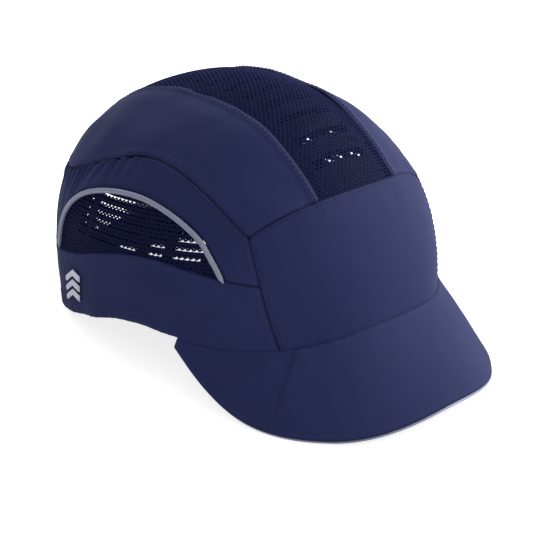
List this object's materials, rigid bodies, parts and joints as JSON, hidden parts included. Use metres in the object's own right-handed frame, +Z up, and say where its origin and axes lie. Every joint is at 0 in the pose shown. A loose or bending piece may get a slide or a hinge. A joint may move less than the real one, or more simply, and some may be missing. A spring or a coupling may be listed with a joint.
{
  "type": "bump cap",
  "caption": "Fabric bump cap over a vented protective shell, with a short curved peak, mesh vents and a rear strap with a lever buckle.",
  "frame": {"origin": "on the resting surface, under the middle of the whole cap's plan", "axes": "+Z up with the cap standing on its peak and rear rim, -Y towards the front of the peak, -X towards the wearer's right"},
  "size_m": [0.1798, 0.2416, 0.1279],
  "materials": {
    "navy_polycotton": "matt twill",
    "navy_netting": "open knitted mesh",
    "reflective_piping": "retroreflective",
    "binding_tape": "ribbed tape",
    "peak_board_plastic": "moulded",
    "black_abs": "moulded satin",
    "grey_foam": "foam with knitted cover",
    "towelling": "terry",
    "label_satin": "satin",
    "embroidery_thread": "satin stitch",
    "webbing": "woven webbing",
    "elastic": "ribbed elastic",
    "buckle_acetal": "moulded",
    "steel_pin": "drawn"
  },
  "bodies": {
    "cap": {"front_panel": "navy_polycotton", "crown_mesh": "navy_netting", "crown_panel_left": "navy_polycotton", "crown_panel_right": "navy_polycotton", "side_panel_left": "navy_polycotton", "side_panel_right": "navy_polycotton", "side_mesh_left": "navy_netting", "side_mesh_right": "navy_netting", "side_piping_left": "reflective_piping", "side_piping_right": "reflective_piping", "band_left": "navy_polycotton", "band_right": "navy_polycotton", "opening_binding": "binding_tape", "peak_top_cover": "navy_polycotton", "peak_board": "peak_board_plastic", "peak_under_cover": "navy_polycotton", "peak_piping": "reflective_piping", "protective_shell": "black_abs", "sweatband": "towelling", "hem_tape_left": "binding_tape", "hem_tape_right": "binding_tape", "front_pad": "grey_foam", "rear_pad": "grey_foam", "crown_pad": "grey_foam", "side_pad_left": "grey_foam", "side_pad_right": "grey_foam", "care_label": "label_satin", "emblem_badge": "embroidery_thread", "rear_elastic": "elastic", "anchor_tab_right": "webbing", "anchor_tab_left": "webbing", "buckle_base": "buckle_acetal", "buckle_pin": "steel_pin"},
    "strap": {"strap_webbing": "webbing", "strap_tip": "buckle_acetal"},
    "lever": {"buckle_lever": "buckle_acetal"}
  },
  "joints": [
    {"name": "strap_adjust", "type": "hinge", "parent": "cap", "child": "strap", "pos_m": [0, 0.02025, 0.0125], "axis": [0, 0, -1], "range_deg": [0, 8], "deforming": ["rear_elastic"]},
    {"name": "buckle_lever_swing", "type": "hinge", "parent": "cap", "child": "lever", "pos_m": [0.02091, 0.11186, 0.0125], "axis": [0, 0, -1], "range_deg": [0, 80]}
  ]
}
